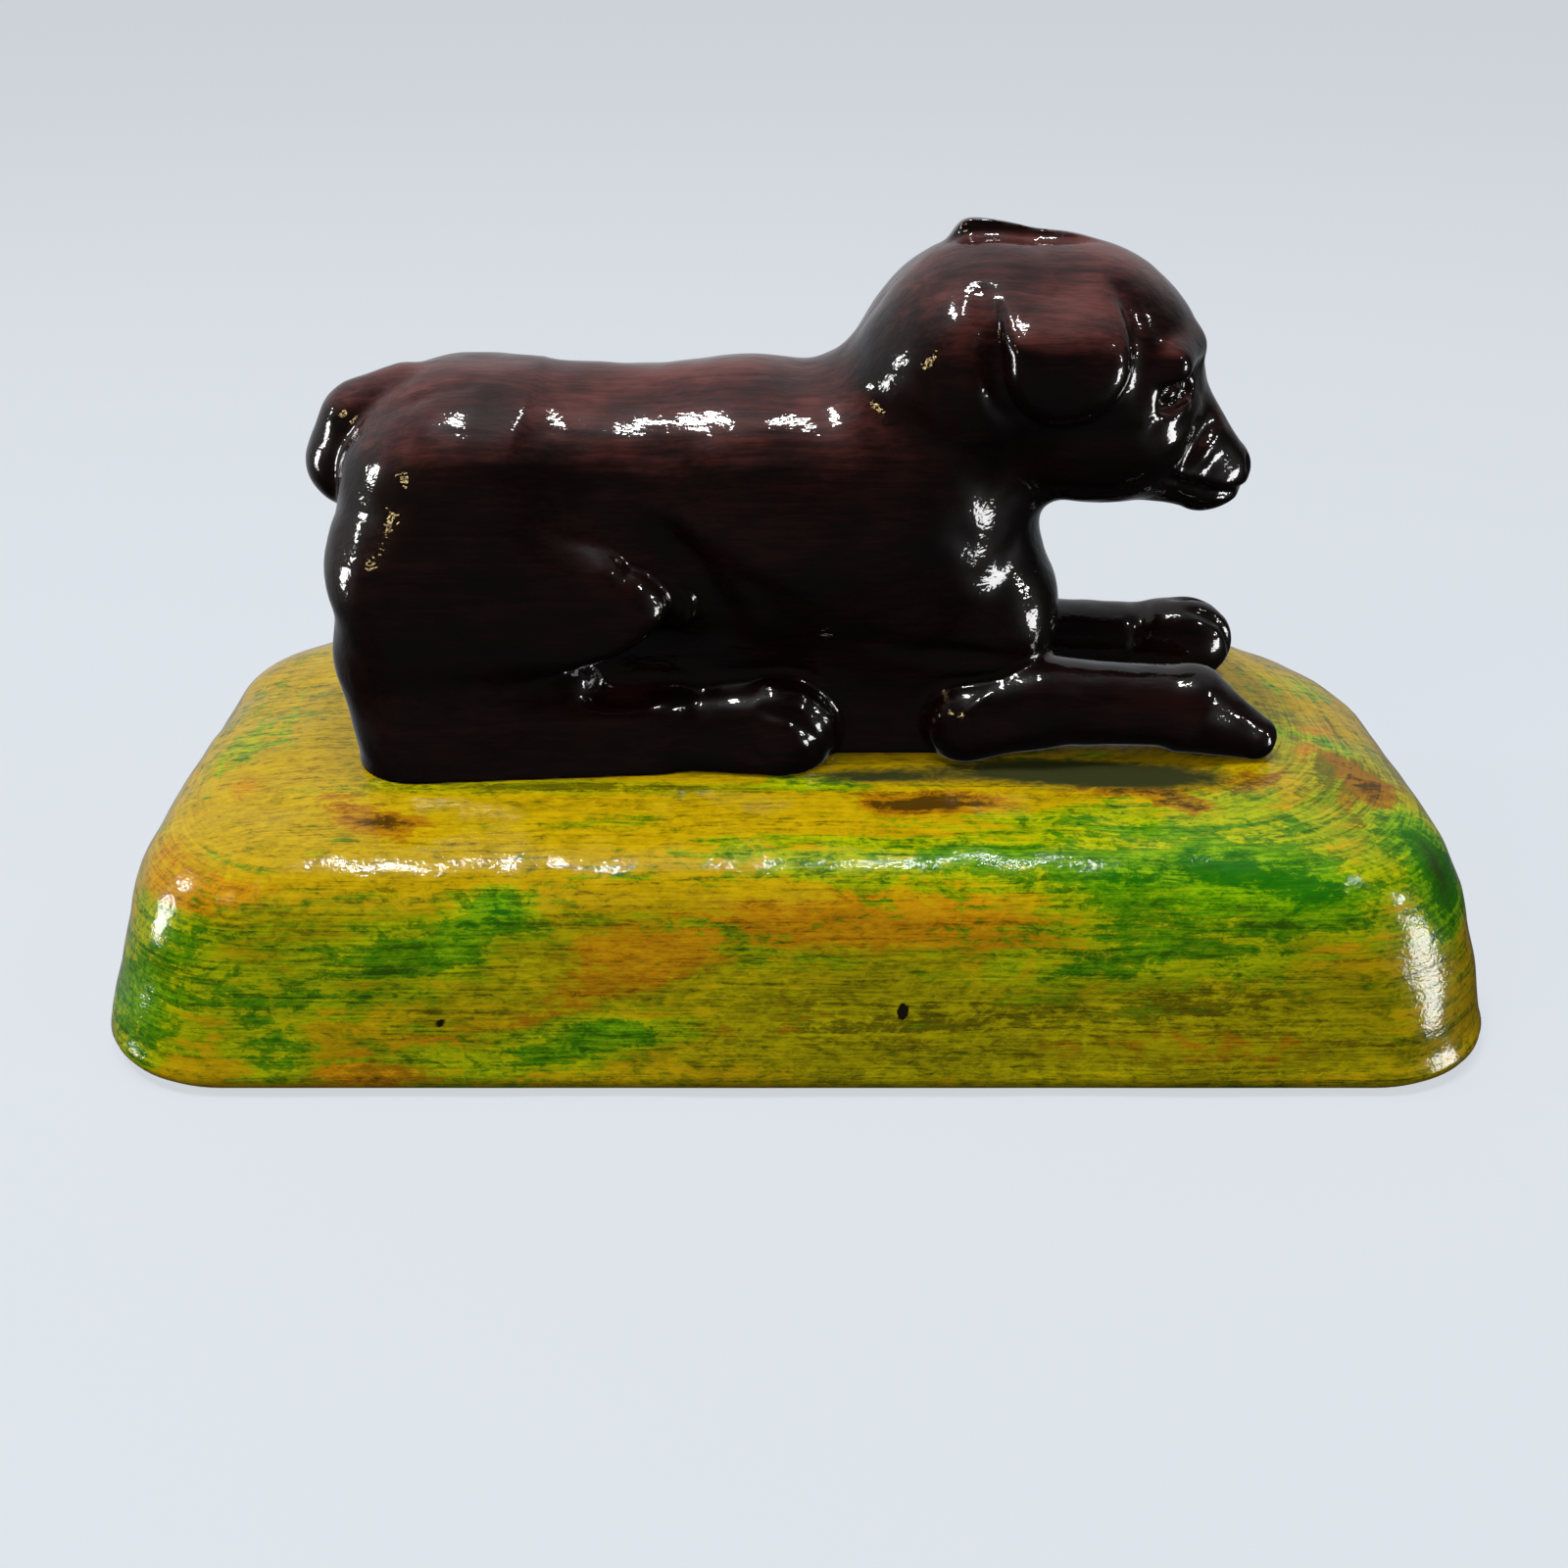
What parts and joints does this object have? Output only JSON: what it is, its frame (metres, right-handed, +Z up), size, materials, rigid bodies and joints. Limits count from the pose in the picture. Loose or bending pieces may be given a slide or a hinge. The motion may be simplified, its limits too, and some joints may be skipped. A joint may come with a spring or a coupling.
{
  "type": "carved dog sculpture on a base",
  "caption": "Carved wooden puppy lying with its forelegs stretched out, on a pillow-shaped painted wooden base with rounded corners.",
  "frame": {"origin": "middle of the flat underside of the base", "axes": "+X the way the puppy faces, along the base's length; +Y to the puppy's left, away from the picture's camera; +Z up"},
  "size_m": [0.21, 0.1, 0.1129],
  "materials": {
    "base_paint": "painted ochre with brushed green and brown stains, clear gloss varnish",
    "dog_lacquer": "dark red-brown stain, clear gloss lacquer"
  },
  "bodies": {
    "root": {"base": "base_paint", "dog": "dog_lacquer"}
  },
  "joints": []
}
